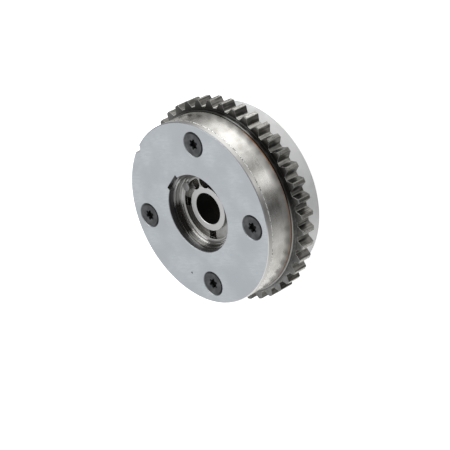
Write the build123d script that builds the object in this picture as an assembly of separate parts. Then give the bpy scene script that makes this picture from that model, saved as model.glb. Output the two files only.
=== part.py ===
from build123d import *
import math
import os

# A four-chamber vane cam phaser, lying on its rear face with its axis along Z.
# The origin is on the axis at the rear face. All lengths are in millimetres and angles in degrees.
# Angles run anticlockwise seen from the front, from +X. The wide chamber is centred on +Y.

# Chain sprocket
chain_pitch = 8.0
tooth_count = 40
tooth_addendum_height = 1.8
tooth_dedendum_height = 1.78
tooth_crest_width = 2.0
tooth_flank_angle = 26.0
tooth_tip_rounding = 0.6
tooth_root_rounding = 0.8
tooth_end_chamfer = 0.3
tooth_phase_angle = -1.9
tooth_length = 8.2
sprocket_width = 10.3

# Diameters of the drum, worked inwards from the roots of the teeth
root_land = 1.1
sprocket_shoulder_step = 0.85
rear_rim_step = 0.95
sprocket_seat_step = 3.5
stator_wall = 3.75
chamber_depth = 13.0

# Lengths along the axis, stacked from the rear face
rear_rim_length = 11.7
spigot_length = 1.8
chamber_length = 21.7
front_cover_thickness = 3.0

# Angles of the lobes and vanes
lobe_count = 4
narrow_pitch_angle = 84.0
lobe_angle = 30.0
phase_travel_angle = 30.0
wide_stop_angle = 0.2
narrow_stop_angle = 0.6

# Running clearances between the rotor and what it turns in
axial_clearance = 0.05
lobe_tip_clearance = 0.1
vane_tip_clearance = 0.15
seal_clearance = 0.05
journal_clearance = 0.04

# Corners of the chambers and vanes
chamber_corner_radius = 1.5
lobe_tip_radius = 1.5
vane_tip_radius = 2.2
vane_root_radius = 1.0

# Tip seals and the leaf springs behind them
seal_width = 2.2
seal_height = 3.0
seal_side_clearance = 0.05
seal_end_clearance = 0.1
seal_groove_depth = 4.2
seal_groove_overcut = 1.0
leaf_thickness = 0.25
leaf_width = 1.7
leaf_length = 17.0
leaf_play = 0.04

# Cover screws
screw_radius = 3.0
screw_hole_clearance = 0.3
screw_web = 2.5
screw_engagement_length = 9.0
thread_hole_spare_depth = 1.2
thread_clearance = 0.02
screw_seat_gap = 0.02
screw_head_radius = 6.1
screw_head_land = 0.3
countersink_margin = 0.5
countersink_relief = 0.3
screw_end_chamfer = 0.6
drive_flute_count = 6
drive_radius = 2.75
drive_flute_radius = 0.85
drive_flute_inset = 0.12
drive_depth = 2.2

# Front cover
cover_bore_radius = 20.2
cover_bore_chamfer = 0.25
cover_rim_chamfer = 0.35
seam_chamfer = 0.25
bore_notch_width = 10.6
bore_notch_depth = 1.3
rim_notch_radius = 2.8
rim_notch_offset = 0.75
rim_notch_angle = 95.2
punch_inset = 1.5
punch_angle = 204.9
punch_radius = 0.55
punch_depth = 0.4

# Front recess of the rotor
recess_ledge = 1.3
recess_shoulder_rise = 0.8
boss_face_depth = 7.2
boss_width = 3.5
groove_width = 4.5
groove_depth = 1.5
groove_start_angle = 84.0
groove_end_angle = 390.0
pocket_inset = 1.7
pocket_radius = 3.4
pocket_depth = 5.0
pocket_angles = (72.0, 42.0)
slot_angles = (129.0, 220.0)
slot_width = 4.6
slot_depth = 4.0
slot_clearance = 0.15
index_pin_radius = 2.3
index_pin_angle = 94.5
index_pin_length = 6.0
index_pin_rise = 1.0
press_gap = 0.01

# Centre bore, camshaft socket and rear journal of the rotor
bolt_hole_radius = 8.0
bolt_hole_chamfer = 0.4
web_thickness = 8.0
socket_wall = 4.0
socket_chamfer = 0.8
journal_radius = 19.0
journal_setback = 0.4
journal_chamfer = 0.5
dowel_hole_radius = 2.0
dowel_hole_depth = 5.0
dowel_hole_angle = 292.5
oil_hole_radius = 1.25
oil_hole_side_gap = 2.9
retard_hole_height = 2.5
oil_hole_row_gap = 3.0

# Rear cover
rear_edge_radius = 0.8
rear_relief_depth = 0.4
rear_land_width = 13.0
spring_well_depth = 8.6
spring_well_land = 1.6
rear_bore_chamfer = 0.5

# Return spring
spring_wire_radius = 0.9
spring_turns = 3.25
spring_coil_pitch = 2.0
spring_start_angle = 65.0
spring_floor_gap = 0.1
spring_bend_radius = 1.6
spring_leg_length = 2.2
spring_leg_hole_clearance = 0.6
spring_leg_hole_spare_depth = 0.6

# Lock pin, its bush, spring and plug
lock_hub_wall = 2.1
lock_pin_offset_angle = -7.0
wide_seal_offset_angle = 13.0
lock_pin_radius = 3.4
lock_head_step = 0.7
lock_pin_clearance = 0.05
lock_tip_setback = 0.1
lock_engagement_length = 4.0
lock_step_height = 3.0
lock_head_length = 4.5
lock_retraction_length = 1.5
lock_tip_chamfer = 0.6
lock_wall = 1.1
lock_floor_thickness = 3.5
lock_plug_floor = 1.6
lock_plug_wall = 0.9
lock_vent_radius = 0.8
lock_bush_wall = 1.5
lock_bush_clearance = 0.25
lock_bush_depth = 5.5
lock_spring_wire_radius = 0.35
lock_spring_turns = 6
lock_spring_side_gap = 0.25

# Dowels between the rear cover and the stator
dowel_radius = 1.5
dowel_length = 10.0
dowel_lobe_wall = 2.8
dowel_side_offset = 4.4
dowel_end_gap = 0.3
dowel_chamfer = 0.3
dowel_lobes = (0, 2)

# Radii that follow from the sizes above
pitch_radius = chain_pitch / (2 * math.sin(math.pi / tooth_count))
root_radius = pitch_radius - tooth_dedendum_height
tip_radius = pitch_radius + tooth_addendum_height
sprocket_shoulder_radius = root_radius - root_land
drum_radius = sprocket_shoulder_radius - sprocket_shoulder_step
rear_rim_radius = drum_radius - rear_rim_step
sprocket_seat_radius = drum_radius - sprocket_seat_step
chamber_radius = sprocket_seat_radius - stator_wall
hub_radius = chamber_radius - chamber_depth
lobe_tip_face_radius = hub_radius + lobe_tip_clearance
vane_radius = chamber_radius - vane_tip_clearance
screw_hole_radius = screw_radius + screw_hole_clearance
screw_circle_radius = lobe_tip_face_radius + seal_groove_depth + screw_web + screw_hole_radius
countersink_radius = screw_head_radius + countersink_margin
punch_circle_radius = screw_circle_radius - punch_inset
bore_notch_reach = cover_bore_radius + bore_notch_depth
recess_radius = cover_bore_radius - recess_ledge
groove_inner_radius = bolt_hole_radius + boss_width
groove_outer_radius = groove_inner_radius + groove_width
pocket_circle_radius = groove_outer_radius - pocket_inset
index_pin_circle_radius = groove_outer_radius
socket_radius = journal_radius - socket_wall
dowel_hole_circle_radius = (bolt_hole_radius + socket_radius) / 2
rear_relief_radius = rear_rim_radius - rear_land_width
lock_head_radius = lock_pin_radius + lock_head_step
lock_circle_radius = hub_radius + lock_hub_wall + lock_head_radius
dowel_circle_radius = lobe_tip_face_radius + dowel_lobe_wall + dowel_radius
spring_well_radius = hub_radius - spring_well_land
rear_bore_radius = journal_radius + journal_clearance
spring_radius = (journal_radius + spring_well_radius) / 2

# Levels that follow from the sizes above
z_sprocket_rear = rear_rim_length
z_tooth_front = z_sprocket_rear + tooth_length
z_sprocket_front = z_sprocket_rear + sprocket_width
z_chamber_rear = rear_rim_length + spigot_length
z_chamber_front = z_chamber_rear + chamber_length
z_front = z_chamber_front + front_cover_thickness
z_rotor_rear = z_chamber_rear + axial_clearance
z_rotor_front = z_chamber_front - axial_clearance
z_boss_face = z_front - boss_face_depth
z_groove_floor = z_boss_face - groove_depth
z_socket_end = z_groove_floor - web_thickness
z_spring_well = z_chamber_rear - spring_well_depth
z_lock_tip = z_rotor_rear + lock_tip_setback
z_lock_step = z_rotor_rear + lock_step_height
z_lock_head = z_lock_tip + lock_step_height + lock_engagement_length
z_lock_head_top = z_lock_head + lock_head_length

# Angles that follow from the sizes above
wide_pitch_angle = 360.0 - (lobe_count - 1) * narrow_pitch_angle
lobe_centres = [90.0 - wide_pitch_angle / 2 - i * narrow_pitch_angle for i in range(lobe_count)]
wide_vane_angle = wide_pitch_angle - lobe_angle - phase_travel_angle - 2 * wide_stop_angle
narrow_vane_angle = narrow_pitch_angle - lobe_angle - phase_travel_angle - 2 * narrow_stop_angle
parked_offset_angle = phase_travel_angle / 2
wide_vane_centre = 90.0 + parked_offset_angle
narrow_vane_centres = [c - narrow_pitch_angle / 2 + parked_offset_angle for c in lobe_centres[:-1]]
wide_seal_angle = wide_vane_centre + wide_seal_offset_angle
lock_pin_angle = wide_vane_centre + lock_pin_offset_angle
vane_seal_angles = [wide_seal_angle] + narrow_vane_centres
dowel_side_angle = math.degrees(math.asin(dowel_side_offset / dowel_circle_radius))


def polar(radius, angle, z=0.0):
    """A point at a radius and an angle about the axis."""
    a = math.radians(angle)
    return Vector(radius * math.cos(a), radius * math.sin(a), z)


def ring(outer, inner, z_low, z_high):
    """A plain ring about the axis between two levels."""
    length = z_high - z_low
    body = Cylinder(outer, length) - Cylinder(inner, length)
    return Pos(0, 0, (z_low + z_high) / 2) * body


def rod(radius, z_low, z_high, circle_radius=0.0, angle=0.0):
    """A plain cylinder standing between two levels."""
    centre = polar(circle_radius, angle, (z_low + z_high) / 2)
    return Pos(*centre) * Cylinder(radius, z_high - z_low)


def turned(points):
    """A solid of revolution from radius and level points of half its section."""
    corners = [(r, 0, z) for r, z in points]
    return revolve(make_face(Polyline(*corners, close=True)), Axis.Z)


def sector(inner, outer, centre, width):
    """The flat face of an annular sector."""
    low = centre - width / 2
    high = centre + width / 2
    outline = [
        Line(polar(inner, low), polar(outer, low)),
        ThreePointArc(polar(outer, low), polar(outer, centre), polar(outer, high)),
        Line(polar(outer, high), polar(inner, high)),
        ThreePointArc(polar(inner, high), polar(inner, centre), polar(inner, low)),
    ]
    return make_face(Curve() + outline)


def block(inner, outer, width, z_low, z_high, angle):
    """A straight-sided bar that runs outwards along one angle."""
    centre = ((inner + outer) / 2, 0, (z_low + z_high) / 2)
    return Rot(0, 0, angle) * Pos(*centre) * Box(outer - inner, width, z_high - z_low)


def seal_groove(radius, direction, angle):
    """The slot for a tip seal, cut into metal from a face at a radius."""
    near = radius - direction * seal_groove_overcut
    far = radius + direction * seal_groove_depth
    width = seal_width + 2 * seal_side_clearance
    return block(min(near, far), max(near, far), width, z_chamber_rear, z_chamber_front, angle)


def tooth_face():
    """One straight-sided tooth, whose foot is sunk into the ring under it."""
    half_crest = tooth_crest_width / 2
    foot = root_radius - tooth_root_rounding
    half_foot = half_crest + (tip_radius - foot) * math.tan(math.radians(tooth_flank_angle))
    corners = [(foot, -half_foot), (tip_radius, -half_crest), (tip_radius, half_crest), (foot, half_foot)]
    return make_face(Polyline(*corners, close=True))


def make_sprocket_ring():
    """The toothed ring that is clamped between the stator's shoulder and the rear cover."""
    step = 360.0 / tooth_count
    face = Circle(root_radius)
    for i in range(tooth_count):
        face += Rot(0, 0, tooth_phase_angle + i * step) * tooth_face()
    roots = [v for v in face.vertices() if math.hypot(v.X, v.Y) < root_radius + 0.01]
    face = fillet(roots, tooth_root_rounding)
    tips = [v for v in face.vertices() if math.hypot(v.X, v.Y) > tip_radius - 0.01]
    face = fillet(tips, tooth_tip_rounding)
    toothed = Pos(0, 0, z_sprocket_rear) * extrude(face, sprocket_width)
    envelope = turned([
        (sprocket_seat_radius + press_gap, z_sprocket_rear),
        (tip_radius - tooth_end_chamfer, z_sprocket_rear),
        (tip_radius + tooth_end_chamfer, z_sprocket_rear + 2 * tooth_end_chamfer),
        (tip_radius + tooth_end_chamfer, z_tooth_front - 2 * tooth_end_chamfer),
        (tip_radius - tooth_end_chamfer, z_tooth_front),
        (sprocket_shoulder_radius, z_tooth_front),
        (sprocket_shoulder_radius, z_sprocket_front - seam_chamfer),
        (sprocket_shoulder_radius - seam_chamfer, z_sprocket_front),
        (sprocket_seat_radius + press_gap, z_sprocket_front),
    ])
    return toothed & envelope


def make_front_cover():
    """The ground plate that closes the chambers at the front."""
    cover = turned([
        (cover_bore_radius, z_chamber_front),
        (drum_radius - seam_chamfer, z_chamber_front),
        (drum_radius, z_chamber_front + seam_chamfer),
        (drum_radius, z_front - cover_rim_chamfer),
        (drum_radius - cover_rim_chamfer, z_front),
        (cover_bore_radius + cover_bore_chamfer, z_front),
        (cover_bore_radius, z_front - cover_bore_chamfer),
    ])
    cone_depth = countersink_radius - screw_hole_radius
    for angle in lobe_centres:
        cover -= rod(screw_hole_radius, z_chamber_front, z_front, screw_circle_radius, angle)
        cone = Cone(screw_hole_radius, countersink_radius, cone_depth)
        cover -= Pos(*polar(screw_circle_radius, angle, z_front - cone_depth / 2)) * cone
    notch_height = bore_notch_reach - cover_bore_radius / 2
    notch = Box(bore_notch_width, notch_height, front_cover_thickness)
    notch_centre = bore_notch_reach - notch_height / 2
    cover -= Pos(0, notch_centre, z_chamber_front + front_cover_thickness / 2) * notch
    rim_circle = drum_radius + rim_notch_offset
    cover -= rod(rim_notch_radius, z_chamber_front, z_front, rim_circle, rim_notch_angle)
    cover -= rod(punch_radius, z_front - punch_depth, z_front, punch_circle_radius, punch_angle)
    return cover


def make_stator():
    """The turned drum with its four inward lobes."""
    face = Circle(drum_radius) - Circle(chamber_radius)
    for angle in lobe_centres:
        face += sector(lobe_tip_face_radius, chamber_radius + stator_wall / 2, angle, lobe_angle)
    roots = [v for v in face.vertices() if abs(math.hypot(v.X, v.Y) - chamber_radius) < 0.01]
    face = fillet(roots, chamber_corner_radius)
    tips = [v for v in face.vertices() if math.hypot(v.X, v.Y) < lobe_tip_face_radius + 0.01]
    face = fillet(tips, lobe_tip_radius)
    stator = Pos(0, 0, z_chamber_rear) * extrude(face, chamber_length)
    stator &= turned([
        (lobe_tip_face_radius / 2, z_chamber_rear),
        (sprocket_seat_radius, z_chamber_rear),
        (sprocket_seat_radius, z_sprocket_front),
        (drum_radius - seam_chamfer, z_sprocket_front),
        (drum_radius, z_sprocket_front + seam_chamfer),
        (drum_radius, z_chamber_front - seam_chamfer),
        (drum_radius - seam_chamfer, z_chamber_front),
        (lobe_tip_face_radius / 2, z_chamber_front),
    ])
    relief_radius = countersink_radius - front_cover_thickness + countersink_relief
    relief_depth = relief_radius - screw_hole_radius
    for angle in lobe_centres:
        stator -= rod(screw_hole_radius, z_chamber_rear, z_chamber_front, screw_circle_radius, angle)
        stator -= seal_groove(lobe_tip_face_radius, 1, angle)
        cone = Cone(screw_hole_radius, relief_radius, relief_depth)
        stator -= Pos(*polar(screw_circle_radius, angle, z_chamber_front - relief_depth / 2)) * cone
    for lobe in dowel_lobes:
        stator -= dowel_hole(lobe, z_chamber_rear, z_chamber_rear + dowel_length / 2 + dowel_end_gap)
    return stator


def make_rear_cover():
    """The drum-shaped rear cover, with the spring well and the bore that runs on the rotor."""
    cover = turned([
        (rear_bore_radius + rear_bore_chamfer, rear_relief_depth),
        (rear_relief_radius, rear_relief_depth),
        (rear_relief_radius + rear_relief_depth, 0),
        (rear_rim_radius - rear_edge_radius, 0),
        (rear_rim_radius, rear_edge_radius),
        (rear_rim_radius, z_sprocket_rear),
        (sprocket_seat_radius, z_sprocket_rear),
        (sprocket_seat_radius, z_chamber_rear),
        (spring_well_radius, z_chamber_rear),
        (spring_well_radius, z_spring_well),
        (rear_bore_radius, z_spring_well),
        (rear_bore_radius, rear_relief_depth + rear_bore_chamfer),
    ])
    hole_bottom = z_chamber_rear - screw_engagement_length - thread_hole_spare_depth
    hole_radius = screw_radius + thread_clearance
    for angle in lobe_centres:
        cover -= rod(hole_radius, hole_bottom, z_chamber_rear, screw_circle_radius, angle)
    for lobe in dowel_lobes:
        cover -= dowel_hole(lobe, z_chamber_rear - dowel_length / 2 - dowel_end_gap, z_chamber_rear)
    bush_radius = lock_bush_outer_radius() + press_gap
    z_bush = z_chamber_rear - lock_bush_depth
    cover -= rod(bush_radius, z_bush, z_chamber_rear, lock_circle_radius, lock_pin_angle)
    cover -= spring_leg_hole(spring_start_leg_angle(), z_spring_leg_low(), z_spring_well)
    return cover


def make_rotor():
    """The hub with its wide and narrow vanes, front recess, camshaft socket and rear journal."""
    face = Circle(hub_radius)
    face += sector(hub_radius / 2, vane_radius, wide_vane_centre, wide_vane_angle)
    for angle in narrow_vane_centres:
        face += sector(hub_radius / 2, vane_radius, angle, narrow_vane_angle)
    tips = [v for v in face.vertices() if math.hypot(v.X, v.Y) > vane_radius - 0.01]
    face = fillet(tips, vane_tip_radius)
    roots = [v for v in face.vertices() if math.hypot(v.X, v.Y) < hub_radius + 0.01]
    face = fillet(roots, vane_root_radius)
    rotor = Pos(0, 0, z_rotor_rear) * extrude(face, z_rotor_front - z_rotor_rear)
    rotor += turned([
        (0, journal_setback),
        (journal_radius - journal_chamfer, journal_setback),
        (journal_radius, journal_setback + journal_chamfer),
        (journal_radius, z_rotor_rear + axial_clearance),
        (0, z_rotor_rear + axial_clearance),
    ])
    rotor -= front_recess()
    rotor -= turned([
        (0, journal_setback),
        (socket_radius + socket_chamfer, journal_setback),
        (socket_radius, journal_setback + socket_chamfer),
        (socket_radius, z_socket_end),
        (0, z_socket_end),
    ])
    rotor -= rod(bolt_hole_radius, z_socket_end, z_boss_face)
    dowel_top = z_socket_end + dowel_hole_depth
    rotor -= rod(dowel_hole_radius, z_socket_end, dowel_top, dowel_hole_circle_radius, dowel_hole_angle)
    for angle in vane_seal_angles:
        rotor -= seal_groove(vane_radius, -1, angle)
    for hole in oil_holes():
        rotor -= hole
    rotor -= lock_pin_bore()
    rotor -= spring_leg_hole(spring_end_leg_angle(), z_rotor_rear, z_spring_leg_high())
    return rotor


def front_recess():
    """What is turned and milled out of the rotor's front: stepped bore, groove, pockets and slots."""
    recess = turned([
        (0, z_boss_face),
        (groove_outer_radius, z_boss_face),
        (recess_radius, z_boss_face + recess_shoulder_rise),
        (recess_radius, z_rotor_front),
        (0, z_rotor_front),
    ])
    middle = (groove_start_angle + groove_end_angle) / 2
    span = groove_end_angle - groove_start_angle
    groove = sector(groove_inner_radius, groove_outer_radius, middle, span)
    recess += Pos(0, 0, z_groove_floor) * extrude(groove, groove_depth)
    for angle in pocket_angles:
        low = z_boss_face - pocket_depth
        recess += rod(pocket_radius, low, z_boss_face, pocket_circle_radius, angle)
    for angle in slot_angles:
        inner = groove_inner_radius + slot_clearance
        outer = groove_outer_radius - slot_clearance
        low = z_groove_floor - slot_depth
        recess += block(inner, outer, slot_width, low, z_groove_floor, angle)
    cone_high = z_boss_face
    cone_low = z_boss_face - bolt_hole_chamfer
    cone = Cone(bolt_hole_radius, bolt_hole_radius + bolt_hole_chamfer, bolt_hole_chamfer)
    recess += Pos(0, 0, (cone_low + cone_high) / 2) * cone
    pin_low, pin_high = index_pin_levels()
    hole_radius = index_pin_radius + press_gap
    recess += rod(hole_radius, pin_low, pin_high, index_pin_circle_radius, index_pin_angle)
    return recess


def oil_holes():
    """Radial drillings from the camshaft socket to both sides of every vane."""
    vanes = [(wide_vane_centre, wide_vane_angle)]
    vanes += [(angle, narrow_vane_angle) for angle in narrow_vane_centres]
    z_retard = z_rotor_rear + retard_hole_height
    z_advance = z_retard + oil_hole_row_gap
    length = hub_radius + vane_root_radius - socket_radius / 2
    centre = socket_radius / 2 + length / 2
    drill = Pos(centre, 0, 0) * Rot(0, 90, 0) * Cylinder(oil_hole_radius, length)
    holes = []
    for angle, width in vanes:
        side = width / 2 + oil_hole_side_gap
        holes.append(Pos(0, 0, z_retard) * Rot(0, 0, angle + side) * drill)
        holes.append(Pos(0, 0, z_advance) * Rot(0, 0, angle - side) * drill)
    return holes


def index_pin_levels():
    """Both ends of the index pin, which stands a little above the boss."""
    high = z_boss_face + index_pin_rise
    return high - index_pin_length, high


def make_index_pin():
    """The pin pressed into the rotor's recess."""
    low, high = index_pin_levels()
    return rod(index_pin_radius, low, high, index_pin_circle_radius, index_pin_angle)


def make_cover_screw(angle):
    """A countersunk screw with a six-lobe recess."""
    z_cone = z_front - (countersink_radius - screw_head_radius) + screw_seat_gap
    z_top = z_cone + screw_head_land
    z_neck = z_cone - (screw_head_radius - screw_radius)
    z_end = z_chamber_rear - screw_engagement_length
    screw = turned([
        (0, z_end),
        (screw_radius - screw_end_chamfer, z_end),
        (screw_radius, z_end + screw_end_chamfer),
        (screw_radius, z_neck),
        (screw_head_radius, z_cone),
        (screw_head_radius, z_top),
        (0, z_top),
    ])
    drive = Circle(drive_radius)
    for i in range(drive_flute_count):
        flute = Pos(drive_radius + drive_flute_inset, 0) * Circle(drive_flute_radius)
        drive -= Rot(0, 0, i * 360.0 / drive_flute_count) * flute
    screw -= Pos(0, 0, z_top - drive_depth) * extrude(drive, drive_depth)
    return Pos(*polar(screw_circle_radius, angle)) * screw


def dowel_hole(lobe, z_low, z_high):
    """A hole for a dowel beside a lobe's screw."""
    angle = lobe_centres[lobe] + dowel_side_angle
    return rod(dowel_radius + press_gap, z_low, z_high, dowel_circle_radius, angle)


def make_cover_dowel(lobe):
    """A dowel that is half in the rear cover and half in the stator."""
    low = z_chamber_rear - dowel_length / 2
    high = z_chamber_rear + dowel_length / 2
    pin = turned([
        (0, low),
        (dowel_radius - dowel_chamfer, low),
        (dowel_radius, low + dowel_chamfer),
        (dowel_radius, high - dowel_chamfer),
        (dowel_radius - dowel_chamfer, high),
        (0, high),
    ])
    return Pos(*polar(dowel_circle_radius, lobe_centres[lobe] + dowel_side_angle)) * pin


def tip_seal(face_radius, direction, angle):
    """A seal bar whose face follows the cylinder that it wipes."""
    low = z_chamber_rear + seal_end_clearance
    high = z_chamber_front - seal_end_clearance
    far = face_radius + direction * seal_height
    near = face_radius - direction * seal_width
    bar = block(min(near, far), max(near, far), seal_width, low, high, angle)
    if direction > 0:
        return bar - rod(face_radius, low, high)
    return bar & rod(face_radius, low, high)


def leaf_spring(seal_radius, groove_radius, angle):
    """A bowed strip whose middle bears on the seal and whose ends bear on the groove."""
    middle = (z_chamber_rear + z_chamber_front) / 2
    direction = 1 if groove_radius > seal_radius else -1
    crown = seal_radius + direction * leaf_play
    foot = groove_radius - direction * (leaf_thickness + leaf_play)
    half = leaf_length / 2
    low = (foot, 0, middle - half)
    top = (crown, 0, middle)
    high = (foot, 0, middle + half)
    step = direction * leaf_thickness
    low_back = (foot + step, 0, middle - half)
    top_back = (crown + step, 0, middle)
    high_back = (foot + step, 0, middle + half)
    outline = Curve() + [
        ThreePointArc(low, top, high),
        Line(high, high_back),
        ThreePointArc(high_back, top_back, low_back),
        Line(low_back, low),
    ]
    strip = extrude(make_face(outline), leaf_width / 2, dir=(0, 1, 0), both=True)
    return Rot(0, 0, angle) * strip


def make_lobe_seal(angle):
    """The seal bar in one lobe's tip."""
    return tip_seal(hub_radius + seal_clearance, 1, angle)


def make_lobe_seal_spring(angle):
    """The leaf spring behind one lobe's seal."""
    seal_back = hub_radius + seal_clearance + seal_height
    return leaf_spring(seal_back, lobe_tip_face_radius + seal_groove_depth, angle)


def make_vane_seal(angle):
    """The seal bar in one vane's tip."""
    return tip_seal(chamber_radius - seal_clearance, -1, angle)


def make_vane_seal_spring(angle):
    """The leaf spring behind one vane's seal."""
    seal_back = chamber_radius - seal_clearance - seal_height
    return leaf_spring(seal_back, vane_radius - seal_groove_depth, angle)


def lock_pin_bore():
    """The stepped bore through the wide vane that the lock pin slides in."""
    tip = lock_pin_radius + lock_pin_clearance
    head = lock_head_radius + lock_pin_clearance
    bore = rod(tip, z_rotor_rear, z_lock_step, lock_circle_radius, lock_pin_angle)
    bore += rod(head, z_lock_step, z_rotor_front, lock_circle_radius, lock_pin_angle)
    return bore


def make_lock_pin():
    """The hollow stepped pin that parks the rotor."""
    inner = lock_head_radius - lock_wall
    pin = turned([
        (0, z_lock_tip),
        (lock_pin_radius - lock_tip_chamfer, z_lock_tip),
        (lock_pin_radius, z_lock_tip + lock_tip_chamfer),
        (lock_pin_radius, z_lock_head),
        (lock_head_radius, z_lock_head),
        (lock_head_radius, z_lock_head_top),
        (inner, z_lock_head_top),
        (inner, z_lock_head),
        (lock_pin_radius - lock_wall, z_lock_head),
        (lock_pin_radius - lock_wall, z_lock_tip + lock_floor_thickness),
        (0, z_lock_tip + lock_floor_thickness),
    ])
    return Pos(*polar(lock_circle_radius, lock_pin_angle)) * pin


def make_lock_pin_plug():
    """The vented plug that holds the spring in and stops the pin as it is pushed back."""
    low = z_lock_head_top + lock_retraction_length + lock_tip_setback
    inner = lock_head_radius - lock_plug_wall
    plug = turned([
        (lock_vent_radius, z_rotor_front - lock_plug_floor),
        (inner, z_rotor_front - lock_plug_floor),
        (inner, low),
        (lock_head_radius + lock_pin_clearance - press_gap, low),
        (lock_head_radius + lock_pin_clearance - press_gap, z_rotor_front),
        (lock_vent_radius, z_rotor_front),
    ])
    return Pos(*polar(lock_circle_radius, lock_pin_angle)) * plug


def make_lock_pin_spring():
    """The coil spring between the lock pin's floor and its plug."""
    radius = lock_pin_radius - lock_wall - lock_spring_side_gap - lock_spring_wire_radius
    low = z_lock_tip + lock_floor_thickness + lock_spring_wire_radius
    high = z_rotor_front - lock_plug_floor - lock_spring_wire_radius
    height = high - low
    path = Helix(height / lock_spring_turns, height, radius)
    wire = Plane(origin=path @ 0, z_dir=path % 0) * Circle(lock_spring_wire_radius)
    coil = Pos(0, 0, low) * sweep(wire, path)
    return Pos(*polar(lock_circle_radius, lock_pin_angle)) * coil


def lock_bush_outer_radius():
    """The bush's outside, from the lock pin that enters it."""
    return lock_pin_radius + lock_bush_clearance + lock_bush_wall


def make_lock_bush():
    """The hardened bush in the rear cover that the lock pin enters when it parks the rotor."""
    low = z_chamber_rear - lock_bush_depth
    bore = lock_pin_radius + lock_bush_clearance
    bush = ring(lock_bush_outer_radius(), bore, low, z_chamber_rear)
    return Pos(*polar(lock_circle_radius, lock_pin_angle)) * bush


def z_spring_first_turn():
    """The level of the wire's centre at the start of the coil."""
    return z_spring_well + spring_floor_gap + spring_wire_radius


def z_spring_last_turn():
    """The level of the wire's centre at the end of the coil."""
    return z_spring_first_turn() + spring_turns * spring_coil_pitch


def z_spring_leg_low():
    """The bottom of the fixed leg's hole."""
    leg_end = z_spring_first_turn() - spring_bend_radius - spring_leg_length
    return leg_end - spring_leg_hole_spare_depth


def z_spring_leg_high():
    """The top of the moving leg's hole."""
    leg_end = z_spring_last_turn() + spring_bend_radius + spring_leg_length
    return leg_end + spring_leg_hole_spare_depth


def spring_leg_shift():
    """How far a leg stands past the end of the coil, as an angle."""
    return math.degrees(math.atan2(spring_bend_radius, spring_radius))


def spring_start_leg_angle():
    """The angle of the fixed leg. The coil runs clockwise, so the leg is before its start."""
    return spring_start_angle + spring_leg_shift()


def spring_end_leg_angle():
    """The angle of the moving leg, past the end of the coil."""
    return spring_start_angle - 360.0 * spring_turns - spring_leg_shift()


def spring_leg_hole(angle, z_low, z_high):
    """A hole for one leg of the return spring."""
    radius = spring_wire_radius + spring_leg_hole_clearance
    circle_radius = math.hypot(spring_radius, spring_bend_radius)
    return rod(radius, z_low, z_high, circle_radius, angle)


def spring_leg(z_coil, upwards):
    """A bend out of the coil and a straight leg along the axis, at the angle of +X."""
    side = -1 if upwards else 1
    rise = 1 if upwards else -1
    b = spring_bend_radius
    diagonal = b * math.sqrt(0.5)
    coil_end = (spring_radius, 0, z_coil)
    bend_middle = (spring_radius, side * diagonal, z_coil + rise * (b - diagonal))
    bend_end = (spring_radius, side * b, z_coil + rise * b)
    leg_end = (spring_radius, side * b, z_coil + rise * (b + spring_leg_length))
    path = Curve() + [ThreePointArc(coil_end, bend_middle, bend_end), Line(bend_end, leg_end)]
    wire = Plane(origin=coil_end, z_dir=(0, side, 0)) * Circle(spring_wire_radius)
    return sweep(wire, path)


def make_return_spring():
    """The left-hand torsion spring between the rear cover and the rotor."""
    low = z_spring_first_turn()
    height = spring_turns * spring_coil_pitch
    path = Helix(spring_coil_pitch, height, spring_radius, lefthand=True)
    wire = Plane(origin=path @ 0, z_dir=path % 0) * Circle(spring_wire_radius)
    coil = Rot(0, 0, spring_start_angle) * Pos(0, 0, low) * sweep(wire, path)
    fixed_leg = Rot(0, 0, spring_start_angle) * spring_leg(low, False)
    end_angle = spring_start_angle - 360.0 * spring_turns
    moving_leg = Rot(0, 0, end_angle) * spring_leg(z_spring_last_turn(), True)
    return coil + fixed_leg + moving_leg


def all_parts():
    """Every piece by its node's name."""
    parts = {
        "front_cover": make_front_cover(),
        "stator": make_stator(),
        "sprocket_ring": make_sprocket_ring(),
        "rear_cover": make_rear_cover(),
        "rotor": make_rotor(),
        "index_pin": make_index_pin(),
        "lock_pin": make_lock_pin(),
        "lock_pin_plug": make_lock_pin_plug(),
        "lock_pin_spring": make_lock_pin_spring(),
        "lock_bush": make_lock_bush(),
        "return_spring": make_return_spring(),
    }
    for i, angle in enumerate(lobe_centres, start=1):
        parts[f"cover_screw_{i}"] = make_cover_screw(angle)
        parts[f"lobe_seal_{i}"] = make_lobe_seal(angle)
        parts[f"lobe_seal_spring_{i}"] = make_lobe_seal_spring(angle)
    for i, angle in enumerate(vane_seal_angles, start=1):
        parts[f"vane_seal_{i}"] = make_vane_seal(angle)
        parts[f"vane_seal_spring_{i}"] = make_vane_seal_spring(angle)
    for i, lobe in enumerate(dowel_lobes, start=1):
        parts[f"cover_dowel_{i}"] = make_cover_dowel(lobe)
    return parts


os.makedirs("parts", exist_ok=True)
for name, solid in all_parts().items():
    export_step(solid, f"parts/{name}.step")
    print(name, round(solid.volume, 1))
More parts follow.
